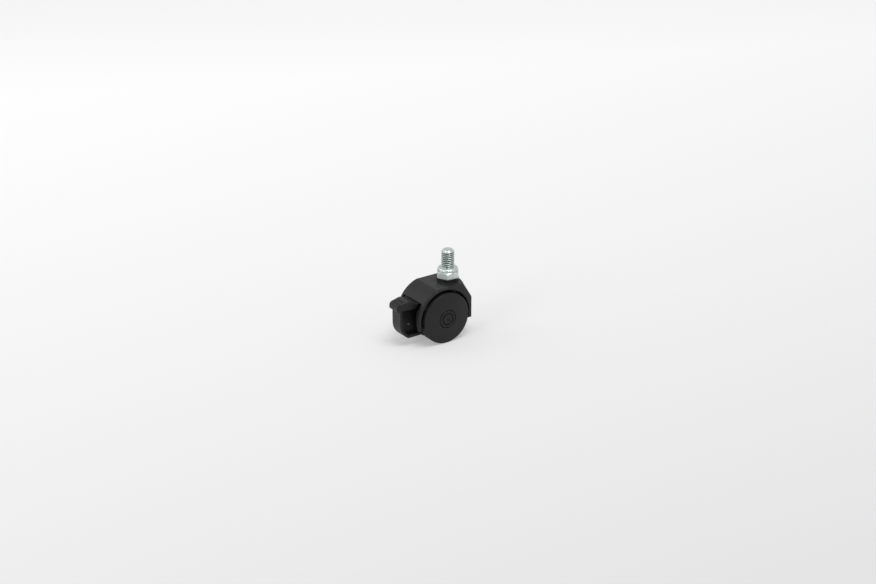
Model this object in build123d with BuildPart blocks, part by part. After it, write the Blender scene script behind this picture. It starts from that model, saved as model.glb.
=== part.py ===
# Braked twin-wheel castor with a hood and a threaded swivel stem.
# The origin is on the stem's axis at the seat, where the thread starts. +Z runs up the thread,
# +X points ahead of the castor, away from the brake pedal, and Y runs along the axle.
# Side outlines are drawn round the axle: their x is ahead of it and their y above it.
import os
from math import acos, asin, atan2, cos, degrees, hypot, isclose, radians, sin, sqrt, tan

from build123d import *

os.makedirs("parts", exist_ok=True)

# Whole castor
wheel_diameter = 40.0
trail = 12.4  # from the stem's axis back to the axle
hood_width = 29.3  # over the hood's two side faces
wheel_proud = 2.0  # from a side face of the hood out to the edge of a wheel's face
wheel_side_gap = 0.5  # from a cheek to the inner end of a wheel
press_gap = 0.02  # round a pin that is pressed into its hole
turning_gap = 0.05  # round a pin that turns in its hole

# Threaded stem
thread_radius = 5.0
thread_length = 13.9
thread_chamfer = 1.1
collar_radius = 7.75
collar_top_radius = 5.6
collar_height = 2.6
collar_shoulder = 0.62  # height share at which the dome's side turns inwards
hex_across_flats = 16.0
hex_height = 5.0
hex_chamfer_angle = 30.0
hex_turn = 55.0  # angle of one corner from +X
swivel_pin_radius = 4.0
swivel_pin_length = 23.0
swivel_pin_chamfer = 0.6
end_play = 0.1  # between the pin's foot and the socket's floor

# Snap ring that holds the pin in its socket
ring_wire_radius = 0.7
ring_groove_depth = 0.9
ring_side_gap = 0.1
ring_opening = 50.0  # degrees of the ring that are left open
ring_height = 3.6  # from the pin's foot up to the ring
ring_pocket_gap = 0.3

# Hood
wheel_well_gap = 2.15  # round the tread
rim_wall = 2.05  # between a wheel well and the round back of the hood
hood_wall = 1.6  # between the brake bay and the round back
top_cut = 0.8  # from the round back's crown down to the flat top
rim_width = 1.2  # band along each side face that is set back
rim_step = 0.3
rim_round = 0.4
skirt_drop = 5.8  # from the axle down to the hood's lower edge
nose_reach = 27.6  # from the axle to the front wall, at mid-width
nose_radius = 32.0  # of the front wall, seen from above
brow_height = 11.2  # where the front wall starts to lean back
brow_run = 6.8  # how far the front leans back below the flat top
brow_round = 0.8
boss_radius = 8.3
boss_height = 2.0
boss_gap = 0.6  # from the boss up to the hex
boss_root = 5.0  # how deep the boss reaches into the hood
cheek_spread = 14.2  # over the two cheeks between the wheels
cheek_wall = 1.5
cheek_setback = 1.6  # from a wheel well's radius in to the cheeks' rear edge
web_radius = 13.0
lug_wall = 3.1  # round the pedal's pin
bay_front = 7.5  # from the axle back to the front wall of the brake bay
slot_width = 24.0
slot_top = 14.5  # above the axle
slot_corner = 1.6
slot_relief = 0.5  # of the slot's rounded corners above its upper edge
core_wall = 2.0
core_back = 6.8

# Axle and the push-on washers at its ends
axle_radius = 3.0
axle_chamfer = 0.4
axle_end_gap = 0.3  # from the axle's end to the hub cap
washer_radius = 5.1
washer_thickness = 0.6
washer_play = 0.1

# Wheels
tread_round = 0.8
tread_wall = 2.4
face_crown = 1.4  # how far the face stands out at its middle
face_wall = 2.4
hub_wall = 2.75
washer_pocket_depth = 1.2
notch_count = 12
tooth_height = 2.7
tooth_band = 3.8
root_gap = 0.5  # from the locked brake bar to the bottom of a notch
rib_count = 8
rib_thickness = 1.2
rib_depth = 1.8

# Hub caps
cap_radius = 7.0
cap_gap = 0.15
cap_seat_depth = 0.6  # from the edge of the wheel's face in to the cap's ledge
cap_round = 0.45  # along the cap's edge and along the recess round it
cap_ring_radius = 4.3
cap_ring_width = 0.5
cap_ring_depth = 0.3
cap_dimple_radius = 1.6
washer_pocket_gap = 0.4

# Brake pedal
pedal_play = 0.4  # between the pedal's arm and each cheek
pedal_wall = 2.1
pedal_plate = 1.8
pedal_hub_radius = 4.2
pivot_back = 13.5  # from the axle back to the pedal's pin
heel_back = 27.0
heel_drop = 13.4
wall_back = 34.3
wall_foot_drop = 1.5  # below the axle, where the back wall starts to curve in
tip_back = 37.0
tip_drop = 1.8  # from the crest down to the pad's top at the tip
tip_round = 3.2  # over the pad's tip
lip_round = 1.3  # under the pad's tip
lip_height = 9.7
wall_round = 0.6  # where the lip meets the back wall
crest_back = 27.5
crest_rise = 2.5  # from the slot's upper edge up to the pad's crest
crest_round = 8.0
shield_gap = 0.45  # under the upper edge of the slot
shield_reach = 0.4  # of the shield out of the slot, before the pad's top rises from it
pad_root_width = 17.0  # where the pad's sides would reach the line of the pedal's pin
pad_round = 1.0  # along the pad's upper side edges
pad_front_gap = 0.3  # from the hood's round back in to the pad's front
grip_rib_count = 4
grip_rib_width = 0.55
grip_rib_height = 0.3
grip_rib_pitch = 1.2
grip_rib_inset = 3.1  # from the tip to the first rib
press_angle = 14.0  # from released to locked
pedal_pin_radius = 1.5

# Brake bar
bar_radius = 1.5
bar_end_gap = 0.4  # from the bar's end to the inner end of a notch
bar_chamfer = 0.3
bar_back = 12.0
bar_height = 2.5
bar_boss_wall = 1.7
bar_slot_gap = 0.35
window_back = 24.0
window_drop = 4.4
window_radius = 1.2

# Worked out from the sizes above
wheel_radius = wheel_diameter / 2
half_width = hood_width / 2
wheel_edge = half_width + wheel_proud
well_radius = wheel_radius + wheel_well_gap
hood_radius = well_radius + rim_wall
top_height = hood_radius - top_cut
hex_base_z = -collar_height - hex_height
pin_foot_z = hex_base_z - swivel_pin_length
boss_top_z = hex_base_z - boss_gap
hood_top_z = boss_top_z - boss_height
axle_x = -trail
axle_z = hood_top_z - top_height
cheek_rear_radius = well_radius - cheek_setback
cheek_half = cheek_spread / 2
bay_half = cheek_half - cheek_wall
wheel_inner = cheek_half + wheel_side_gap
bore_radius = axle_radius + turning_gap
hub_radius = bore_radius + hub_wall
rim_inner_radius = wheel_radius - tread_wall
disc_inner = wheel_edge - face_wall
cap_seat = wheel_edge - cap_seat_depth
hub_end = cap_seat - washer_pocket_depth
pedal_half = bay_half - pedal_play
pivot = (-pivot_back, pedal_hub_radius - heel_drop)
slot_back = sqrt(hood_radius**2 - slot_top**2)
shield_radius = hypot(slot_back - pivot_back, slot_top - pivot[1]) - shield_gap
shield_back = slot_back + shield_reach
bar_rest = (-bar_back, bar_height)
bar_orbit = hypot(bar_rest[0] - pivot[0], bar_rest[1] - pivot[1])
bar_start_angle = degrees(atan2(bar_rest[1] - pivot[1], bar_rest[0] - pivot[0]))
bar_end_angle = radians(bar_start_angle + press_angle)
bar_locked = (pivot[0] + bar_orbit * cos(bar_end_angle), pivot[1] + bar_orbit * sin(bar_end_angle))
notch_half = bar_radius + bar_slot_gap
tooth_root_radius = hypot(bar_locked[0], bar_locked[1]) + bar_radius + root_gap
tooth_tip_radius = tooth_root_radius - tooth_height
notch_angle = degrees(atan2(bar_locked[1], bar_locked[0]))
crown_radius = (wheel_radius**2 + face_crown**2) / (2 * face_crown)

# The side plane faces -Y, so an offset of it and an extrusion from it go towards the right wheel
side = Plane(origin=(axle_x, 0, axle_z), x_dir=(1, 0, 0), z_dir=(0, -1, 0))
level = Plane(origin=(axle_x, 0, axle_z))
axle_line = Axis((axle_x, 0, axle_z), (0, 1, 0))


def crown_at(radius):
    """Distance from mid-width to the crowned wheel face at a radius."""
    return wheel_edge + face_crown - crown_radius + sqrt(crown_radius**2 - radius**2)


def round_edges(body, radius):
    """The circular edges of a body that have a given radius."""
    circles = body.edges().filter_by(GeomType.CIRCLE)
    return circles.filter_by(lambda edge: isclose(edge.radius, radius, abs_tol=0.01))


def shield_at(back):
    """Height of the pedal's curved shield at a distance back from the axle."""
    return pivot[1] + sqrt(shield_radius**2 - (back - pivot_back) ** 2)


# Threaded stem, turned and milled from one bar: swivel pin, hex, domed collar and thread
hex_corner_radius = hex_across_flats / 2 / cos(radians(30))
chamfer_drop = (hex_corner_radius - collar_radius) * tan(radians(hex_chamfer_angle))
with BuildPart() as threaded_stem:
    with BuildSketch(Plane.XY.offset(hex_base_z)):
        RegularPolygon(hex_across_flats / 2, 6, major_radius=False, rotation=hex_turn)
    extrude(amount=hex_height)
    with BuildSketch(Plane.XZ):
        with BuildLine():
            Polyline(
                (0, -collar_height),
                (collar_radius, -collar_height),
                (hex_corner_radius, -collar_height - chamfer_drop),
                (hex_corner_radius, hex_base_z + chamfer_drop / 2),
                (hex_corner_radius - chamfer_drop / 2, hex_base_z),
                (0, hex_base_z),
                close=True,
            )
        make_face()
    revolve(axis=Axis.Z, mode=Mode.INTERSECT)
    with BuildSketch(Plane.XZ):
        with BuildLine():
            thread = Polyline(
                (0, -collar_height),
                (0, thread_length),
                (thread_radius - thread_chamfer, thread_length),
                (thread_radius, thread_length - thread_chamfer),
                (thread_radius, 0),
                (collar_top_radius, 0),
            )
            dome = ThreePointArc(
                thread @ 1,
                (
                    collar_radius - (collar_radius - collar_top_radius) * (1 - collar_shoulder),
                    -collar_height * (1 - collar_shoulder),
                ),
                (collar_radius, -collar_height),
            )
            Line(dome @ 1, thread @ 0)
        make_face()
    revolve(axis=Axis.Z)
    with BuildSketch(Plane.XY.offset(pin_foot_z)):
        Circle(swivel_pin_radius)
    extrude(amount=swivel_pin_length)
    chamfer(threaded_stem.edges().sort_by(Axis.Z)[0], swivel_pin_chamfer)
    groove_height = 2 * (ring_wire_radius + ring_side_gap)
    with BuildSketch(Plane.XY.offset(pin_foot_z + ring_height - groove_height / 2)):
        Circle(swivel_pin_radius)
        Circle(swivel_pin_radius - ring_groove_depth, mode=Mode.SUBTRACT)
    extrude(amount=groove_height, mode=Mode.SUBTRACT)
threaded_stem.part.label = "threaded_stem"
export_step(threaded_stem.part, "parts/threaded_stem.step")

# Snap ring, a round wire bent to an open ring, sprung into the pin's groove
ring_radius = swivel_pin_radius - ring_groove_depth + press_gap + ring_wire_radius
with BuildPart() as stem_snap_ring:
    with BuildSketch(Plane.XZ.rotated((0, 0, ring_opening / 2))):
        with Locations((ring_radius, pin_foot_z + ring_height)):
            Circle(ring_wire_radius)
    revolve(axis=Axis.Z, revolution_arc=360 - ring_opening)
stem_snap_ring.part.label = "stem_snap_ring"
export_step(stem_snap_ring.part, "parts/stem_snap_ring.step")

# Space of the slot in the hood's back: its upper edge follows the pedal's swing, and it ends at
# the cheeks
with BuildPart() as slot:
    with BuildSketch(Plane(origin=(axle_x, 0, axle_z), x_dir=(0, -1, 0), z_dir=(-1, 0, 0))):
        with Locations((0, slot_top + slot_relief)):
            RectangleRounded(slot_width, 2 * hood_radius, slot_corner,
                             align=(Align.CENTER, Align.MAX))
    extrude(amount=2 * hood_radius)
    with BuildSketch(side):
        with Locations(pivot):
            Circle(shield_radius + shield_gap)
        Circle(cheek_rear_radius, mode=Mode.SUBTRACT)
    extrude(amount=slot_width, both=True, mode=Mode.INTERSECT)

# Hood: one moulding of shell, stem socket, and two cheeks that carry the axle and the pedal's pin
skirt_angle = degrees(asin(skirt_drop / hood_radius))
top_angle = degrees(acos(top_height / hood_radius))
hood_front = nose_reach + brow_run
socket_floor_z = pin_foot_z - end_play
with BuildPart() as hood:
    for inset, half in ((0, half_width - rim_width), (rim_step, half_width)):
        with BuildSketch(side):
            with BuildLine():
                back = CenterArc((0, 0), hood_radius, 90 + top_angle, 90 + skirt_angle - top_angle)
                Polyline(
                    back @ 1,
                    (hood_front, -skirt_drop),
                    (hood_front, top_height),
                    back @ 0,
                )
            make_face()
            if inset:
                offset(amount=-inset)
        extrude(amount=half, both=True)
    side_faces = hood.faces().filter_by(Axis.Y).sort_by(Axis.Y)
    fillet(side_faces[0].edges() + side_faces[-1].edges(), rim_round)
    # The front is trimmed by a drum that stands upright: a round wall with a leaning brow
    nose = Plane(side.origin + (nose_reach - nose_radius, 0, 0), x_dir=(1, 0, 0), z_dir=(0, -1, 0))
    with BuildSketch(nose):
        with BuildLine():
            brow = FilletPolyline(
                (0, top_height),
                (nose_radius - brow_run, top_height),
                (nose_radius, brow_height),
                (nose_radius, -hood_radius),
                (0, -hood_radius),
                radius=brow_round,
            )
            Line(brow @ 1, brow @ 0)
        make_face()
    revolve(axis=Axis(nose.origin, (0, 0, 1)), mode=Mode.INTERSECT)
    # Boss under the hex
    with BuildSketch(Plane.XY.offset(boss_top_z)):
        Circle(boss_radius)
    extrude(amount=-(boss_top_z - hood_top_z + boss_root))
    # Wheel wells on both sides of the cheeks
    for way in (1, -1):
        with BuildSketch(side.offset(way * cheek_half)):
            Circle(well_radius)
        extrude(amount=way * half_width, mode=Mode.SUBTRACT)
    # Lower part of the cheeks, down to a lug round the pedal's pin
    lug_reach = hypot(pivot[0], pivot[1])
    with BuildSketch(side):
        Circle(web_radius)
        with Locations((pivot[0] / 2, pivot[1] / 2)):
            SlotCenterToCenter(
                lug_reach,
                2 * (pedal_pin_radius + lug_wall),
                rotation=degrees(atan2(pivot[1], pivot[0])),
            )
    extrude(amount=cheek_half, both=True)
    # Slot in the back of the shell, then the brake bay between the cheeks
    add(slot.part, mode=Mode.SUBTRACT)
    with BuildSketch(side):
        Circle(hood_radius - hood_wall)
        with Locations((-bay_front, 0)):
            Rectangle(2 * hood_radius, 3 * hood_radius, align=(Align.MAX, Align.CENTER),
                      mode=Mode.INTERSECT)
    extrude(amount=bay_half, both=True, mode=Mode.SUBTRACT)
    # Core under the socket, open below
    with BuildSketch(side):
        with Locations((core_back, socket_floor_z - axle_z - core_wall)):
            Rectangle(nose_reach - core_wall - core_back, 2 * hood_radius,
                      align=(Align.MIN, Align.MAX))
    extrude(amount=bay_half, both=True, mode=Mode.SUBTRACT)
    # Stem socket with a pocket for the snap ring
    with BuildSketch(Plane.XY.offset(socket_floor_z)):
        Circle(swivel_pin_radius + turning_gap)
    extrude(amount=boss_top_z - socket_floor_z, mode=Mode.SUBTRACT)
    pocket_height = 2 * (ring_wire_radius + ring_pocket_gap)
    with BuildSketch(Plane.XY.offset(pin_foot_z + ring_height - pocket_height / 2)):
        Circle(ring_radius + ring_wire_radius + ring_pocket_gap)
    extrude(amount=pocket_height, mode=Mode.SUBTRACT)
    # Holes for the axle and the pedal's pin, and the curved slots that guide the brake bar
    with BuildSketch(side):
        Circle(axle_radius + press_gap)
        with Locations(pivot):
            Circle(pedal_pin_radius + press_gap)
        with Locations(bar_rest, bar_locked):
            Circle(notch_half)
        with BuildLine():
            inner = CenterArc(pivot, bar_orbit - notch_half, bar_start_angle, press_angle)
            outer = CenterArc(pivot, bar_orbit + notch_half, bar_start_angle, press_angle)
            Line(inner @ 0, outer @ 0)
            Line(inner @ 1, outer @ 1)
        make_face()
    extrude(amount=cheek_half, both=True, mode=Mode.SUBTRACT)
hood.part.label = "hood"
export_step(hood.part, "parts/hood.step")

# Axle, a plain steel pin pressed through the cheeks
axle_length = 2 * (cap_seat - axle_end_gap)
with BuildPart() as axle:
    with BuildSketch(side):
        Circle(axle_radius)
    extrude(amount=axle_length / 2, both=True)
    chamfer(axle.edges().group_by(Axis.Y)[0] + axle.edges().group_by(Axis.Y)[-1], axle_chamfer)
axle.part.label = "axle"
export_step(axle.part, "parts/axle.step")


def build_wheel(way):
    """Hollow wheel with a crowned face, a hub, ribs, and brake notches inside the tread."""
    pocket_radius = washer_radius + washer_pocket_gap
    ledge_radius = cap_radius + cap_gap
    with BuildPart() as wheel:
        with BuildSketch(level):
            with BuildLine():
                inside = Polyline(
                    (ledge_radius, -way * crown_at(ledge_radius)),
                    (ledge_radius, -way * cap_seat),
                    (pocket_radius, -way * cap_seat),
                    (pocket_radius, -way * hub_end),
                    (bore_radius, -way * hub_end),
                    (bore_radius, -way * wheel_inner),
                    (hub_radius, -way * wheel_inner),
                    (hub_radius, -way * disc_inner),
                    (rim_inner_radius, -way * disc_inner),
                    (rim_inner_radius, -way * (wheel_inner + tooth_band)),
                    (tooth_tip_radius, -way * (wheel_inner + tooth_band)),
                    (tooth_tip_radius, -way * wheel_inner),
                    (wheel_radius, -way * wheel_inner),
                    (wheel_radius, -way * crown_at(wheel_radius)),
                )
                ThreePointArc(
                    inside @ 1,
                    (wheel_radius / 2, -way * crown_at(wheel_radius / 2)),
                    inside @ 0,
                )
            make_face()
        revolve(axis=axle_line)
        fillet(round_edges(wheel, wheel_radius), tread_round)
        fillet(round_edges(wheel, ledge_radius).sort_by(Axis.Y)[0 if way > 0 else -1], cap_round)
        with BuildSketch(side.offset(way * disc_inner)):
            with PolarLocations((hub_radius + rim_inner_radius) / 2, rib_count):
                Rectangle(rim_inner_radius - hub_radius + hub_wall / 2, rib_thickness)
        extrude(amount=-way * rib_depth)
        notch_length = tooth_height + 2 * notch_half
        with BuildSketch(side.offset(way * wheel_inner)):
            with PolarLocations(
                tooth_root_radius - notch_length / 2, notch_count, start_angle=notch_angle
            ):
                SlotOverall(notch_length, 2 * notch_half)
        extrude(amount=way * tooth_band, mode=Mode.SUBTRACT)
    return wheel.part


def build_cap(way):
    """Hub cap that continues the wheel's crowned face, with a plain ring and a round dimple."""
    with BuildPart() as cap:
        with BuildSketch(level):
            with BuildLine():
                back = Polyline(
                    (0, -way * crown_at(0)),
                    (0, -way * cap_seat),
                    (cap_radius, -way * cap_seat),
                    (cap_radius, -way * crown_at(cap_radius)),
                )
                ThreePointArc(
                    back @ 1,
                    (cap_radius / 2, -way * crown_at(cap_radius / 2)),
                    back @ 0,
                )
            make_face()
        revolve(axis=axle_line)
        fillet(round_edges(cap, cap_radius).sort_by(Axis.Y)[0 if way > 0 else -1], cap_round)
        with BuildSketch(side.offset(way * (crown_at(cap_ring_radius) - cap_ring_depth))):
            Circle(cap_ring_radius + cap_ring_width / 2)
            Circle(cap_ring_radius - cap_ring_width / 2, mode=Mode.SUBTRACT)
            Circle(cap_dimple_radius)
        extrude(amount=way * face_crown, mode=Mode.SUBTRACT)
    return cap.part


def build_washer(way):
    """Push-on washer that keeps a wheel on the axle."""
    with BuildPart() as washer:
        with BuildSketch(side.offset(way * (hub_end + washer_play))):
            Circle(washer_radius)
            Circle(axle_radius + press_gap, mode=Mode.SUBTRACT)
        extrude(amount=way * washer_thickness)
    return washer.part


for way, hand in ((1, "right"), (-1, "left")):
    wheel_part = build_wheel(way)
    wheel_part.label = "wheel_" + hand
    export_step(wheel_part, "parts/wheel_" + hand + ".step")
    cap_part = build_cap(way)
    cap_part.label = "hub_cap_" + hand
    export_step(cap_part, "parts/hub_cap_" + hand + ".step")
    washer_part = build_washer(way)
    washer_part.label = "axle_washer_" + hand
    export_step(washer_part, "parts/axle_washer_" + hand + ".step")

# Pad of the pedal: wider towards the hood, with rounded side edges and grip ribs across it
crest = (-crest_back, slot_top + crest_rise)
tip_top = (-tip_back, crest[1] - tip_drop)
tip_foot = (-tip_back, lip_height)
pad_slope = degrees(atan2(crest[1] - tip_top[1], crest[0] - tip_top[0]))
with BuildPart() as pad:
    with BuildSketch(side):
        with BuildLine():
            shield_edge = CenterArc(pivot, shield_radius, 90,
                                    degrees(asin((shield_back - pivot_back) / shield_radius)))
            pad_top = FilletPolyline(
                shield_edge @ 1,
                crest,
                tip_top,
                tip_foot,
                (-pivot_back, lip_height),
                radius=(crest_round, tip_round, lip_round),
            )
            Line(pad_top @ 1, shield_edge @ 0)
        make_face()
        Circle(hood_radius - pad_front_gap, mode=Mode.SUBTRACT)
    extrude(amount=pad_root_width / 2, both=True)
    with BuildSketch(level):
        with BuildLine():
            Polyline(
                (-tip_back, -pedal_half),
                (-pivot_back, -pad_root_width / 2),
                (-pivot_back, pad_root_width / 2),
                (-tip_back, pedal_half),
                close=True,
            )
        make_face()
    extrude(amount=hood_radius, mode=Mode.INTERSECT)
    pad_middle = axle_z + (lip_height + crest[1]) / 2
    upper_edges = pad.edges().filter_by(
        lambda edge: edge.center().Z > pad_middle and abs(edge.center().Y) > pedal_half / 2
        and edge.center().X < axle_x - shield_back
    )
    fillet(upper_edges, pad_round)
    rib_places = [
        (
            tip_top[0] + (grip_rib_inset + grip_rib_pitch * i) * cos(radians(pad_slope)),
            tip_top[1] + (grip_rib_inset + grip_rib_pitch * i) * sin(radians(pad_slope)),
        )
        for i in range(grip_rib_count)
    ]
    with BuildSketch(side):
        with Locations(*rib_places):
            Rectangle(grip_rib_width, 2 * grip_rib_height, rotation=pad_slope)
    extrude(amount=pedal_half - pad_round, both=True)

# Brake pedal: an outer wall round the whole outline, a thin plate inside it, and the pad on top
shield_front = pivot[0] + pedal_hub_radius
with BuildPart() as brake_pedal:
    with BuildSketch(side) as pedal_outline:
        with BuildLine():
            heel = (-heel_back, -heel_drop)
            base = Line(heel, (pivot[0], -heel_drop))
            hub_arc = CenterArc(pivot, pedal_hub_radius, -90, 90)
            front = Line(hub_arc @ 1, (shield_front, shield_at(-shield_front)))
            front_angle = degrees(atan2(shield_at(-shield_front) - pivot[1], pedal_hub_radius))
            rear_angle = degrees(atan2(shield_at(shield_back) - pivot[1], pivot_back - shield_back))
            shield = CenterArc(pivot, shield_radius, front_angle, rear_angle - front_angle)
            rear = FilletPolyline(
                shield @ 1,
                crest,
                tip_top,
                tip_foot,
                (-wall_back, lip_height),
                (-wall_back, -wall_foot_drop),
                radius=(crest_round, tip_round, lip_round, wall_round),
            )
            TangentArc(rear @ 1, heel, tangent=(0, -1))
        make_face()
    extrude(amount=pedal_plate / 2, both=True)
    with BuildSketch(side):
        add(pedal_outline.sketch_local)
        offset(amount=-pedal_wall, mode=Mode.SUBTRACT)
    extrude(amount=pedal_half, both=True)
    with BuildSketch(side):
        with Locations(pivot):
            Circle(pedal_hub_radius)
        with Locations(bar_rest):
            Circle(bar_radius + bar_boss_wall)
    extrude(amount=pedal_half, both=True)
    add(pad.part)
    with BuildSketch(side):
        with Locations(pivot):
            Circle(pedal_pin_radius + turning_gap)
        with Locations(bar_rest):
            Circle(bar_radius + press_gap)
        with Locations((-window_back, -window_drop)):
            Circle(window_radius)
    extrude(amount=pedal_half, both=True, mode=Mode.SUBTRACT)
brake_pedal.part.label = "brake_pedal"
export_step(brake_pedal.part, "parts/brake_pedal.step")

# Pin that the pedal turns on
with BuildPart() as pedal_pin:
    with BuildSketch(side.offset(-cheek_half)):
        with Locations(pivot):
            Circle(pedal_pin_radius)
    extrude(amount=cheek_spread)
pedal_pin.part.label = "pedal_pin"
export_step(pedal_pin.part, "parts/pedal_pin.step")

# Brake bar, carried by the pedal; its ends drop into the wheels' notches
bar_reach = wheel_inner + tooth_band - bar_end_gap
with BuildPart() as brake_bar:
    with BuildSketch(side.offset(-bar_reach)):
        with Locations(bar_rest):
            Circle(bar_radius)
    extrude(amount=2 * bar_reach)
    chamfer(brake_bar.edges().group_by(Axis.Y)[0] + brake_bar.edges().group_by(Axis.Y)[-1],
            bar_chamfer)
brake_bar.part.label = "brake_bar"
export_step(brake_bar.part, "parts/brake_bar.step")
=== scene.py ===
# %% [markdown]
# # A braked castor with a threaded stem
# This notebook dresses a small furniture castor for a product picture: a black moulded hood, a
# wheel on each side, a foot pedal at the back and a zinc-plated stem on top. The solid model is
# loaded first and stays where it is. Every piece made here is built in metres in the same frame,
# whose origin is the foot of the thread, so nothing has to be fitted by eye afterwards.

# %% Load the solid model
import math

import bmesh
import bpy
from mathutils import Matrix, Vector


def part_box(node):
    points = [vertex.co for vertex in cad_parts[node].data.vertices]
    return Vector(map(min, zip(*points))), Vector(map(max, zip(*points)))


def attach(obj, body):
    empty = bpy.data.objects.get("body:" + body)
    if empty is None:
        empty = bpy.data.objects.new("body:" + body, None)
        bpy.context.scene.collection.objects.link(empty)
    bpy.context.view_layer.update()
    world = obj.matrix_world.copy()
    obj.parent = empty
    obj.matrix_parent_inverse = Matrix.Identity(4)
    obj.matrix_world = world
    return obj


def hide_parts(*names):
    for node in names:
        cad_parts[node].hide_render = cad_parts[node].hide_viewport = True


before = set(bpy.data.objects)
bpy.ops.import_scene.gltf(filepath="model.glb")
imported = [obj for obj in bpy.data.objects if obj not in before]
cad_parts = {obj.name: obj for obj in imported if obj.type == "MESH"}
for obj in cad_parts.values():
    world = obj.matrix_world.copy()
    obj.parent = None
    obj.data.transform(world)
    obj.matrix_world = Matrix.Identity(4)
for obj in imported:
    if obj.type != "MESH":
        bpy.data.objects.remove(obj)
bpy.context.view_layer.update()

MM = 0.001

# %% [markdown]
# ## Where things are
# The scene takes its places from the solid model. The box of the axle gives the line that the
# wheels turn round, and the box of the stem gives its two ends. Reading them is safer than typing
# them again, because a change of the model then moves the dressed pieces with it.

# %% Places read from the model
def middle(node):
    low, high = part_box(node)
    return (low + high) / 2


axle = middle("axle")
hood_low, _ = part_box("hood")
stem_low, stem_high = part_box("threaded_stem")
wheel_low, wheel_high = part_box("wheel_right")
floor_z = wheel_low.z
print("axle", tuple(axle), "floor", floor_z, "stem", stem_low.z, stem_high.z)

# %% [markdown]
# ## Camera
# The photograph was taken from behind and to the right of the castor, a good step away and from
# above. Three things fix the camera: the two angles, which come from how the round wheel is
# squeezed to an ellipse, a scale in pixels per millimetre, and one matched point. That point is
# where the axle's line leaves the hood's near side, and it has to land on its own pixel.

# %% Camera
photo_size = (876, 584)
pixels_per_mm = 1.337
axle_pixel = (445.4, 317.6)
camera_turn = math.radians(-35)
camera_rise = math.radians(23.5)
camera_distance = 1.25
sensor_width = 36.0

right = Vector((math.cos(camera_turn), math.sin(camera_turn), 0))
back = Vector((math.sin(camera_turn) * math.cos(camera_rise),
               -math.cos(camera_turn) * math.cos(camera_rise), math.sin(camera_rise)))
up = back.cross(right)
axle_end = Vector((axle.x, hood_low.y, axle.z))
target = (axle_end
          - right * ((axle_pixel[0] - photo_size[0] / 2) / pixels_per_mm * MM)
          + up * ((axle_pixel[1] - photo_size[1] / 2) / pixels_per_mm * MM))

camera_data = bpy.data.cameras.new("camera")
camera_data.sensor_width = sensor_width
camera_data.lens = pixels_per_mm / MM * camera_distance * sensor_width / photo_size[0]
camera = bpy.data.objects.new("camera", camera_data)
camera.location = target + back * camera_distance
camera.rotation_euler = back.to_track_quat("Z", "Y").to_euler()
bpy.context.collection.objects.link(camera)
bpy.context.scene.camera = camera
print("camera", tuple(camera.location), "lens", camera_data.lens)

# %% [markdown]
# ## Helpers for materials
# A material here is a small graph of nodes. Most of them need the same start, a shader whose
# inputs are then fed, so the graph's building blocks get short functions: one that adds a node
# and sets its values, and one that makes noise on the object's own coordinates.

# %% Material helpers
def new_material(name):
    made = bpy.data.materials.new(name)
    made.use_nodes = True
    return made, made.node_tree.nodes["Principled BSDF"]


def add_node(material, kind, **values):
    node = material.node_tree.nodes.new(kind)
    for socket, value in values.items():
        node.inputs[socket.replace("_", " ")].default_value = value
    return node


def join(material, source, target_socket):
    material.node_tree.links.new(source, target_socket)


def noise(material, scale, detail=2.0, stretch=(1, 1, 1)):
    """Noise on the object's coordinates; the scale counts bumps per metre."""
    place = add_node(material, "ShaderNodeTexCoord")
    mapping = add_node(material, "ShaderNodeMapping", Scale=stretch)
    texture = add_node(material, "ShaderNodeTexNoise", Scale=scale, Detail=detail)
    join(material, place.outputs["Object"], mapping.inputs["Vector"])
    join(material, mapping.outputs["Vector"], texture.inputs["Vector"])
    return texture.outputs["Fac"]


def between(material, value, low, high, start=0.3, end=0.7):
    """The value spread over the range from low to high."""
    spread = material.node_tree.nodes.new("ShaderNodeMapRange")
    for socket, number in (("From Min", start), ("From Max", end), ("To Min", low),
                           ("To Max", high)):
        spread.inputs[socket].default_value = number
    join(material, value, spread.inputs["Value"])
    return spread.outputs["Result"]


# %% [markdown]
# ## Floor
# The castor stands on a pale sweep of paper that runs out of the picture. A plain sheet is enough,
# because its far edge lies outside the view. The paper's colour is painted darker towards the
# camera and to the right, a painted fall-off of the light, so its colour follows the distance
# along one direction.
# Its shadows are made faint by a painted glow: the camera sees part of the sheet glowing with its
# own tone, which lightens the shadows on it. Only the camera sees that glow, so it puts no light
# on the castor.

# %% Floor
floor_size = 12.0
# painted shade: the paper's tone runs from paper_far down to paper_near towards the camera, a
# painted fall-off of the light
paper_near = 0.65
paper_far = 0.98
paper_roughness = 0.9
paper_shine = 0.1
fade_start = -0.6
fade_end = 0.7
fade_slant = 0.25  # to the right, for each metre away from the camera
# painted glow: this share of the paper that the camera sees is its own tone glowing, which
# lightens its shadows
painted_glow_share = 0.42
away = Vector((-back.x, -back.y, 0)).normalized()
painted_falloff_along = (away - fade_slant * right).normalized()


def sheet_object(name, size, place, facing):
    mesh = bpy.data.meshes.new(name)
    sheet = bmesh.new()
    bmesh.ops.create_grid(sheet, x_segments=1, y_segments=1, size=size / 2)
    turn = Vector(facing).to_track_quat("Z", "Y").to_matrix()
    bmesh.ops.transform(sheet, matrix=turn.to_4x4(), verts=sheet.verts)
    bmesh.ops.translate(sheet, verts=sheet.verts, vec=place)
    sheet.to_mesh(mesh)
    sheet.free()
    made = bpy.data.objects.new(name, mesh)
    bpy.context.collection.objects.link(made)
    return made


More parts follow.
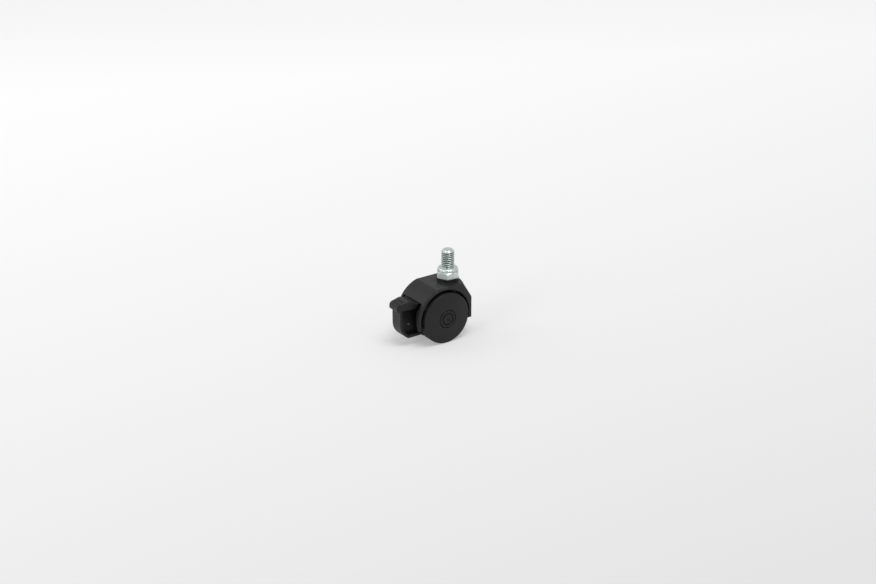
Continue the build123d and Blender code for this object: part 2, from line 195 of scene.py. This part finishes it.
floor = sheet_object("floor", floor_size, (0, 0, floor_z), (0, 0, 1))
paper, shader = new_material("paper")
place = add_node(paper, "ShaderNodeTexCoord")
along = add_node(paper, "ShaderNodeVectorMath")
along.operation = "DOT_PRODUCT"
along.inputs[1].default_value = painted_falloff_along
join(paper, place.outputs["Object"], along.inputs[0])
# painted fall-off: the paper's colour is darker towards the camera and to the right
tone = between(paper, along.outputs["Value"], paper_near, paper_far, fade_start, fade_end)
join(paper, tone, shader.inputs["Base Color"])
shader.inputs["Roughness"].default_value = paper_roughness
shader.inputs["Specular IOR Level"].default_value = paper_shine
# painted glow: the camera sees the paper partly glowing with its own tone, which lightens the
# shadows on it
glow = add_node(paper, "ShaderNodeEmission", Strength=1.0)
join(paper, tone, glow.inputs["Color"])
seen = paper.node_tree.nodes.new("ShaderNodeLightPath")
share = add_node(paper, "ShaderNodeMath")
share.operation = "MULTIPLY"
share.inputs[1].default_value = painted_glow_share
join(paper, seen.outputs["Is Camera Ray"], share.inputs[0])
blend = paper.node_tree.nodes.new("ShaderNodeMixShader")
join(paper, share.outputs["Value"], blend.inputs["Fac"])
join(paper, shader.outputs["BSDF"], blend.inputs[1])
join(paper, glow.outputs["Emission"], blend.inputs[2])
join(paper, blend.outputs["Shader"],
     paper.node_tree.nodes["Material Output"].inputs["Surface"])
floor.data.materials.append(paper)
print("paper from", paper_near, "to", paper_far, "along", tuple(painted_falloff_along))

# %% [markdown]
# ## Light
# A light tent wraps the castor in nearly even light, which leaves only a soft shadow where the
# wheels and the pedal come close to the paper. A large lamp high over the near side lets the
# shadow fall back under the castor. A second one behind the pedal puts a sheen on the hood's
# round back, and a weak third one at the left lights the left sides of the hex and the pedal.
# Bright metal shows what stands round it, so a wide dark board behind the camera gives the plated
# stem its dark streaks.

# %% Light
tent_strength = 0.64
lamps = {  # place and size in metres, power in watts
    "overhead": ((-0.05, -0.65, 1.9), 1.0, 22.0),
    "sheen": ((-0.75, 0.75, 0.75), 0.8, 2.0),
    "left": ((-1.1, -0.25, 0.5), 0.5, 3.2),
}
board_size = 1.8
board_behind = 0.4
board_above = 0.2
board_colour = (0.01, 0.01, 0.01, 1)
board_roughness = 0.8

world = bpy.data.worlds.new("tent")
bpy.context.scene.world = world
world.use_nodes = True
world.node_tree.nodes["Background"].inputs["Color"].default_value = (1, 1, 1, 1)
world.node_tree.nodes["Background"].inputs["Strength"].default_value = tent_strength


def soft_lamp(name, place, size, power):
    data = bpy.data.lights.new(name, "AREA")
    data.shape = "SQUARE"
    data.size = size
    data.energy = power
    lamp = bpy.data.objects.new(name, data)
    lamp.location = place
    lamp.rotation_euler = (Vector(place) - target).to_track_quat("Z", "Y").to_euler()
    bpy.context.collection.objects.link(lamp)


for name, (place, size, power) in lamps.items():
    soft_lamp(name, place, size, power)

board_place = camera.location + back * board_behind + Vector((0, 0, board_above))
board = sheet_object("dark_board", board_size, board_place, -back)
board_paint, shader = new_material("board_paint")
shader.inputs["Base Color"].default_value = board_colour
shader.inputs["Roughness"].default_value = board_roughness
board.data.materials.append(board_paint)

bpy.context.scene.view_settings.view_transform = "Standard"
print("tent", tent_strength, "lamps", list(lamps), "board at", tuple(board_place))

# %% [markdown]
# ## Moulded black plastic
# Hood, wheels and pedal are injection moulded in black plastic. The mould's surface leaves a fine
# satin grain, the gloss varies a little from place to place, and every edge has a small radius
# that catches the light. The grain is a bump made of fine noise. The edge radius comes from the
# Bevel node, which turns the shading near an edge as if it were rounded. Where that turned normal
# and the true one differ lies an edge, so the same node also finds the edges, and there the
# plastic is painted paler in patches: partly a painted highlight along every edge, partly where
# hands and feet have rubbed it.

# %% Moulded black plastic
bevel_samples = 6
pale_edge_start = 0.75  # likeness of bevelled and true normal where the edge is painted palest
pale_edge_end = 0.97  # and where it keeps its own colour
pale_edge_patches_per_metre = 220.0
gloss_patches_per_metre = 90.0


def moulded_plastic(name, colour, worn_and_highlight_colour, gloss, grain, edge_radius, shine=0.4):
    """Black plastic: gloss is its lowest and highest roughness, grain is (bumps per m, depth)."""
    made, shader = new_material(name)
    edge = add_node(made, "ShaderNodeBevel", Radius=edge_radius)
    edge.samples = bevel_samples
    true_normal = add_node(made, "ShaderNodeNewGeometry")
    likeness = add_node(made, "ShaderNodeVectorMath")
    likeness.operation = "DOT_PRODUCT"
    join(made, edge.outputs["Normal"], likeness.inputs[0])
    join(made, true_normal.outputs["Normal"], likeness.inputs[1])
    # painted highlight and rubbed wear: the plastic is painted paler near every edge, in patches
    wear_and_highlight_mask = between(made, likeness.outputs["Value"], 1.0, 0.0, pale_edge_start, pale_edge_end)
    patches = between(made, noise(made, pale_edge_patches_per_metre, 4.0), 0.2, 1.0)
    wear_and_highlight_patches = add_node(made, "ShaderNodeMath")
    wear_and_highlight_patches.operation = "MULTIPLY"
    join(made, wear_and_highlight_mask, wear_and_highlight_patches.inputs[0])
    join(made, patches, wear_and_highlight_patches.inputs[1])
    paint = add_node(made, "ShaderNodeMix")
    paint.data_type = "RGBA"
    paint.inputs["A"].default_value = (*colour, 1)
    paint.inputs["B"].default_value = (*worn_and_highlight_colour, 1)
    join(made, wear_and_highlight_patches.outputs["Value"], paint.inputs["Factor"])
    join(made, paint.outputs["Result"], shader.inputs["Base Color"])
    gloss_patches = noise(made, gloss_patches_per_metre)
    join(made, between(made, gloss_patches, *gloss), shader.inputs["Roughness"])
    bumps_per_metre, depth = grain
    relief = add_node(made, "ShaderNodeBump", Strength=1.0, Distance=depth)
    join(made, noise(made, bumps_per_metre, 3.0), relief.inputs["Height"])
    join(made, edge.outputs["Normal"], relief.inputs["Normal"])
    join(made, relief.outputs["Normal"], shader.inputs["Normal"])
    shader.inputs["Specular IOR Level"].default_value = shine
    return made


hood_black = moulded_plastic("hood_black", (0.0125, 0.0125, 0.013), (0.060, 0.060, 0.061),
                             (0.34, 0.46), (2600.0, 0.000014), 0.4 * MM, 0.29)
wheel_black = moulded_plastic("wheel_black", (0.0080, 0.0080, 0.0085), (0.026, 0.026, 0.027),
                              (0.42, 0.52), (3000.0, 0.000008), 0.3 * MM, 0.29)
cap_black = moulded_plastic("cap_black", (0.005, 0.005, 0.0055), (0.020, 0.020, 0.021),
                            (0.34, 0.44), (3000.0, 0.000008), 0.2 * MM, 0.27)
pedal_black = moulded_plastic("pedal_black", (0.0085, 0.0085, 0.009), (0.070, 0.070, 0.071),
                              (0.34, 0.50), (1500.0, 0.00004), 0.4 * MM, 0.29)

# %% [markdown]
# ## Plated and bare steel
# The stem is turned from bar and zinc plated, which is bright with a faint green cast and clouds
# where the bath left the layer thicker. Axle, pins, bar and spring parts are plain steel. Drawing
# and turning leave fine lines, so their noise is stretched along one direction. Crests, roots and
# edges of cut metal are slightly rounded, which the Bevel node gives to the shading. It lets them
# pick up the dark board as well as the bright tent. The thread's grooves are painted darker, a
# painted shade for the shadow that gathers in them. There the stem lies closer to its axis, so the
# distance from the axis finds them, below the height where the chamfer at the top begins. The
# tool's fine rings round a turned piece smear every reflection along its axis, which is what an
# anisotropic shader with its tangent along the axis does, and why the dark board shows as one dark
# stripe down the stem.

# %% Plated and bare steel
clouds_per_metre = 350.0
gloss_lines_per_metre = 900.0
scratches_per_metre = 2500.0
# painted shade in the thread's grooves fades out over this height below the chamfer
groove_shade_fade = 0.4 * MM
nearly_up = (0.05, 0.03, 1.0)  # a little off Z, so that flat tops get a tangent too


def steel(name, colour, cloud_colour, gloss, streak, scratch_depth, edge_radius=0.1 * MM,
          metal=1.0):
    made, shader = new_material(name)
    edge = add_node(made, "ShaderNodeBevel", Radius=edge_radius)
    edge.samples = bevel_samples
    paint = add_node(made, "ShaderNodeMix")
    paint.data_type = "RGBA"
    paint.inputs["A"].default_value = (*colour, 1)
    paint.inputs["B"].default_value = (*cloud_colour, 1)
    join(made, between(made, noise(made, clouds_per_metre, 4.0), 0.0, 1.0),
         paint.inputs["Factor"])
    join(made, paint.outputs["Result"], shader.inputs["Base Color"])
    join(made, between(made, noise(made, gloss_lines_per_metre, 3.0, streak), *gloss),
         shader.inputs["Roughness"])
    relief = add_node(made, "ShaderNodeBump", Strength=1.0, Distance=scratch_depth)
    join(made, noise(made, scratches_per_metre, 2.0, streak), relief.inputs["Height"])
    join(made, edge.outputs["Normal"], relief.inputs["Normal"])
    join(made, relief.outputs["Normal"], shader.inputs["Normal"])
    shader.inputs["Metallic"].default_value = metal
    return made


def turned_finish(made, spread):
    """Smears the reflections along Z, the axis that the stem was turned round."""
    shader = made.node_tree.nodes["Principled BSDF"]
    axis = add_node(made, "ShaderNodeCombineXYZ", **dict(zip("XYZ", nearly_up)))
    to_world = add_node(made, "ShaderNodeVectorTransform")
    to_world.vector_type = "VECTOR"
    to_world.convert_from = "OBJECT"
    to_world.convert_to = "WORLD"
    join(made, axis.outputs["Vector"], to_world.inputs["Vector"])
    join(made, to_world.outputs["Vector"], shader.inputs["Tangent"])
    shader.inputs["Anisotropic"].default_value = spread


def painted_groove_shade(made, unshaded_radius, root_radius, top, groove_shade_colour):
    """Painted shade: darkens a steel below a height, where it lies closer to the Z axis than a
    radius.
    """
    shader = made.node_tree.nodes["Principled BSDF"]
    unshaded_paint = shader.inputs["Base Color"].links[0].from_socket
    place = add_node(made, "ShaderNodeTexCoord")
    flat = add_node(made, "ShaderNodeVectorMath")
    flat.operation = "MULTIPLY"
    flat.inputs[1].default_value = (1, 1, 0)
    reach = add_node(made, "ShaderNodeVectorMath")
    reach.operation = "LENGTH"
    height = add_node(made, "ShaderNodeSeparateXYZ")
    in_groove = add_node(made, "ShaderNodeMath")
    in_groove.operation = "MULTIPLY"
    paint = add_node(made, "ShaderNodeMix")
    paint.data_type = "RGBA"
    paint.inputs["B"].default_value = (*groove_shade_colour, 1)
    join(made, place.outputs["Object"], flat.inputs[0])
    join(made, flat.outputs["Vector"], reach.inputs[0])
    join(made, place.outputs["Object"], height.inputs["Vector"])
    join(made, between(made, reach.outputs["Value"], 1.0, 0.0, root_radius, unshaded_radius),
         in_groove.inputs[0])
    join(made, between(made, height.outputs["Z"], 1.0, 0.0, top - groove_shade_fade, top),
         in_groove.inputs[1])
    join(made, in_groove.outputs["Value"], paint.inputs["Factor"])
    join(made, unshaded_paint, paint.inputs["A"])
    join(made, paint.outputs["Result"], shader.inputs["Base Color"])


round_the_stem = (0.15, 0.15, 2.5)
along_the_axle = (2.0, 0.1, 2.0)
zinc = steel("zinc", (0.74, 0.79, 0.78), (0.58, 0.64, 0.62), (0.30, 0.42), round_the_stem,
             0.000002, 0.2 * MM, 0.9)
turned_finish(zinc, 0.75)
# painted shade: the thread's grooves are painted darker below the chamfer
painted_groove_shade(zinc, 4.7 * MM, 4.2 * MM, stem_high.z - 1.2 * MM, (0.11, 0.135, 0.13))
drawn_steel = steel("drawn_steel", (0.56, 0.56, 0.57), (0.46, 0.46, 0.47), (0.22, 0.36),
                    along_the_axle, 0.000003)
spring_steel = steel("spring_steel", (0.30, 0.31, 0.33), (0.20, 0.21, 0.23), (0.3, 0.45),
                     (1, 1, 1), 0.000003)

finish_of = {
    "threaded_stem": zinc, "stem_snap_ring": spring_steel, "axle": drawn_steel,
    "axle_washer_right": spring_steel, "axle_washer_left": spring_steel,
    "pedal_pin": drawn_steel, "brake_bar": drawn_steel,
    "hood": hood_black, "brake_pedal": pedal_black,
    "wheel_right": wheel_black, "wheel_left": wheel_black,
    "hub_cap_right": cap_black, "hub_cap_left": cap_black,
}
for node, finish in finish_of.items():
    for material_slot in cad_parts[node].material_slots:
        material_slot.material = finish
    print(node, finish.name)

# %% [markdown]
# ## Helpers for round pieces
# Turned pieces are rings stacked along an axis. Two helpers cover them. One stacks rings of
# vertices and bridges each to the next, which also makes a hexagon if the radius changes with
# the angle. The other spins a half outline round the axle. Both close the mesh and point its
# faces outwards. A last helper turns the mesh into a piece that rides on its body, stands in for
# a node of the solid model and takes a finish.

# %% Round piece helpers
ring_points = 96


def add_ring(mesh, radius_at, height_at):
    """A closed ring round the stem's axis; radius and height are functions of the angle."""
    corners = []
    for i in range(ring_points):
        angle = math.tau * i / ring_points
        radius = radius_at(angle)
        corners.append(mesh.verts.new((radius * math.cos(angle), radius * math.sin(angle),
                                       height_at(angle))))
    return [mesh.edges.new((corners[i - 1], corners[i])) for i in range(ring_points)]


def stack_rings(rings):
    """A closed mesh over rings, each a pair of functions for radius and height."""
    mesh = bmesh.new()
    loops = [add_ring(mesh, radius_at, height_at) for radius_at, height_at in rings]
    for lower, upper in zip(loops, loops[1:]):
        bmesh.ops.bridge_loops(mesh, edges=lower + upper)
    for loop in (loops[0], loops[-1]):
        bmesh.ops.contextual_create(mesh, geom=loop)
    bmesh.ops.recalc_face_normals(mesh, faces=mesh.faces)
    return mesh


def spin_round_axle(outline, steps):
    """A closed mesh from an outline of (radius, y) points that starts and ends on the axle."""
    mesh = bmesh.new()
    points = [mesh.verts.new((axle.x + radius, y, axle.z)) for radius, y in outline]
    edges = [mesh.edges.new(pair) for pair in zip(points, points[1:])]
    bmesh.ops.spin(mesh, geom=points + edges, cent=axle, axis=(0, 1, 0), angle=math.tau,
                   steps=steps, use_merge=True)
    bmesh.ops.remove_doubles(mesh, verts=mesh.verts, dist=1e-7)
    bmesh.ops.recalc_face_normals(mesh, faces=mesh.faces)
    return mesh


def add_piece(name, mesh, node, body, material, sharp_angle=30.0):
    data = bpy.data.meshes.new(name)
    mesh.to_mesh(data)
    mesh.free()
    for face in data.polygons:
        face.use_smooth = True
    data.set_sharp_from_angle(angle=math.radians(sharp_angle))
    data.materials.append(material)
    piece = bpy.data.objects.new(name, data)
    bpy.context.collection.objects.link(piece)
    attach(piece, body)
    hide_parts(node)
    print(name, "faces", len(data.polygons))
    return piece


# %% [markdown]
# ## Thread
# The stem's M10 thread is cut on a lathe: a sharp-edged tool moves up by one pitch for every turn
# of the bar. The mesh is made the same way. A zigzag, the section of the thread, is spun once
# round the axis while it climbs by one pitch, so its end meets its own start one tooth higher.
# Cutting planes then trim both ends, and pulling in whatever sticks out of a cone leaves the
# chamfer that helps a nut on to a real thread.

# %% Thread
pitch = 1.5 * MM
thread_radius = 5.0 * MM
thread_depth = 0.92 * MM
crest_share = 1 / 8  # of the pitch
root_share = 1 / 4
thread_steps = 96
chamfer_length = 1.3 * MM
buried_length = 0.5 * MM
thread_top = stem_high.z


def cut_flat(mesh, height, keep_below):
    """Cuts the mesh off at a height, closes it there, and keeps one side."""
    cut = bmesh.ops.bisect_plane(
        mesh, geom=mesh.verts[:] + mesh.edges[:] + mesh.faces[:], dist=1e-7,
        plane_co=(0, 0, height), plane_no=(0, 0, 1),
        clear_outer=keep_below, clear_inner=not keep_below,
    )
    rim = [item for item in cut["geom_cut"] if isinstance(item, bmesh.types.BMEdge)]
    bmesh.ops.contextual_create(mesh, geom=rim)


def thread_mesh():
    root_radius = thread_radius - thread_depth
    flank = (1 - crest_share - root_share) / 2
    tooth = [(root_radius, 0.0), (root_radius, root_share),
             (thread_radius, root_share + flank), (thread_radius, 1 - flank)]
    first_turn = -math.ceil(buried_length / pitch) - 2
    last_turn = math.ceil(thread_top / pitch) + 1
    mesh = bmesh.new()
    points = [mesh.verts.new((radius, 0, (turn + share) * pitch))
              for turn in range(first_turn, last_turn) for radius, share in tooth]
    edges = [mesh.edges.new(pair) for pair in zip(points, points[1:])]
    bmesh.ops.spin(mesh, geom=points + edges, axis=(0, 0, 1), angle=math.tau,
                   steps=thread_steps, dvec=(0, 0, pitch / thread_steps))
    bmesh.ops.remove_doubles(mesh, verts=mesh.verts, dist=1e-6)
    cut_flat(mesh, thread_top, keep_below=True)
    cut_flat(mesh, -buried_length, keep_below=False)
    for corner in mesh.verts:
        radius = math.hypot(corner.co.x, corner.co.y)
        allowed = thread_radius - chamfer_length + (thread_top - corner.co.z)
        if radius > allowed:
            corner.co.x *= allowed / radius
            corner.co.y *= allowed / radius
    bmesh.ops.recalc_face_normals(mesh, faces=mesh.faces)
    return mesh


# %% [markdown]
# ## Collar, hex and swivel pin
# Below the thread the same bar carries a rounded collar that seats on the furniture, a hex for
# the spanner and the pin that turns in the hood. A narrow neck parts collar and hex. The hex is
# milled first and then turned to a shallow cone, which leaves the curved lines at its corners. A
# ring whose radius follows the hexagon and whose height follows the cone gives exactly those
# curves, with no cutting at all.

# %% Collar, hex and swivel pin
collar_top_radius = 5.6 * MM
collar_radius = 7.75 * MM
collar_height = 2.6 * MM
collar_middle = 1.5 * MM
collar_tuck = 0.4 * MM
neck_radius = 7.2 * MM
neck_height = 0.35 * MM
hex_top_radius = 7.6 * MM
hex_half = 8.0 * MM
hex_height = 5.0 * MM
hex_turn = math.radians(55.0)
hex_chamfer = math.tan(math.radians(30.0))
pin_radius = 4.0 * MM
hex_foot_inset = 0.02 * MM
pin_chamfer = 0.6 * MM
groove_middle = stem_low.z + 3.6 * MM
groove_half = 0.8 * MM
groove_depth = 0.9 * MM
dome_steps = 8


def flat_ring(radius, height):
    return (lambda angle: radius, lambda angle: height)


def hex_radius(angle):
    from_corner = (angle - hex_turn) % (math.pi / 3)
    return hex_half / math.cos(from_corner - math.pi / 6)


def stem_rings():
    hex_top = -collar_height
    hex_base = -collar_height - hex_height
    corner_radius = hex_half / math.cos(math.pi / 6)
    base_radius = corner_radius - (corner_radius - collar_radius) * hex_chamfer / 2
    rings = []
    quarter = [math.pi / 2 * i / dome_steps for i in range(dome_steps + 1)]
    for angle in quarter:
        rings.append(flat_ring(
            collar_top_radius + (collar_radius - collar_top_radius) * math.sin(angle),
            (math.cos(angle) - 1) * collar_middle))
    for angle in quarter[1:]:
        rings.append(flat_ring(
            collar_radius - collar_tuck * (1 - math.cos(angle)),
            -collar_middle
            - (collar_height - neck_height - collar_middle) * math.sin(angle)))
    rings += [
        flat_ring(neck_radius, hex_top + neck_height),
        flat_ring(neck_radius, hex_top),
        flat_ring(hex_top_radius, hex_top),
        (hex_radius, lambda angle: hex_top - (hex_radius(angle) - hex_top_radius) * hex_chamfer),
        (hex_radius, lambda angle: hex_base
         + max(0.0, hex_radius(angle) - base_radius) * hex_chamfer),
        (lambda angle: min(base_radius, hex_radius(angle)) - hex_foot_inset,
         lambda angle: hex_base),
        flat_ring(pin_radius, hex_base),
        flat_ring(pin_radius, groove_middle + groove_half),
        flat_ring(pin_radius - groove_depth, groove_middle + groove_half),
        flat_ring(pin_radius - groove_depth, groove_middle - groove_half),
        flat_ring(pin_radius, groove_middle - groove_half),
        flat_ring(pin_radius, stem_low.z + pin_chamfer),
        flat_ring(pin_radius - pin_chamfer, stem_low.z),
    ]
    return rings


stem = stack_rings(stem_rings())
thread = thread_mesh()
thread_data = bpy.data.meshes.new("thread")
thread.to_mesh(thread_data)
thread.free()
stem.from_mesh(thread_data)
add_piece("threaded_stem_cut", stem, "threaded_stem", "stem", zinc, 25.0)

# %% [markdown]
# ## Hub caps
# A small round cap snaps into the middle of each wheel and hides the washer on the axle. It
# carries the wheel's crowned face on, and its moulded mark is a plain ring and a dimple. The
# outline follows the crown's arc, dips into a round groove and a shallow bowl, and is spun round
# the axle. Enough points in the groove keep its shadow smooth.

# %% Hub caps
face_crown = 1.4 * MM
mark_radius = 4.4 * MM
mark_width = 0.9 * MM
mark_depth = 0.7 * MM
bowl_radius = 2.0 * MM
bowl_depth = 0.7 * MM
edge_width = 0.6 * MM
edge_depth = 0.9 * MM
cap_steps = 128
outline_steps = 56
mark_steps = 10
edge_steps = 8


def cap_mesh(node, side):
    """side is -1 for the right cap, whose face looks along -Y, and 1 for the left one."""
    low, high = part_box(node)
    cap_radius = (high.x - low.x) / 2
    face_y, seat_y = (low.y, high.y) if side < 0 else (high.y, low.y)
    wheel_radius = (wheel_high.z - wheel_low.z) / 2
    bend = (wheel_radius ** 2 + face_crown ** 2) / (2 * face_crown)

    def face_at(radius):
        sunk = bend - math.sqrt(bend ** 2 - radius ** 2)
        from_mark = (radius - mark_radius) / (mark_width / 2)
        if abs(from_mark) < 1:
            sunk += mark_depth * math.sqrt(1 - from_mark ** 2)
        if radius < bowl_radius:
            sunk += bowl_depth * (1 - (radius / bowl_radius) ** 2)
        to_edge = (radius - cap_radius) / edge_width + 1
        if to_edge > 0:
            sunk += edge_depth * (1 - math.sqrt(max(0.0, 1 - to_edge ** 2)))
        return face_y - side * sunk

    marks = [mark_radius - mark_width / 2 + mark_width * i / mark_steps
             for i in range(mark_steps + 1)]
    edges = [cap_radius - edge_width * (1 - math.sin(math.pi / 2 * i / edge_steps))
             for i in range(edge_steps + 1)]
    plain = [(cap_radius - edge_width) * i / outline_steps for i in range(outline_steps)]
    radii = sorted(marks + edges + plain)
    outline = [(radius, face_at(radius)) for radius in radii]
    outline += [(cap_radius, seat_y), (0.0, seat_y)]
    return spin_round_axle(outline, cap_steps)


for hand, side in (("right", -1), ("left", 1)):
    cap_node = "hub_cap_" + hand
    add_piece(cap_node + "_moulded", cap_mesh(cap_node, side), cap_node, "wheel_" + hand,
              cap_black, 40.0)
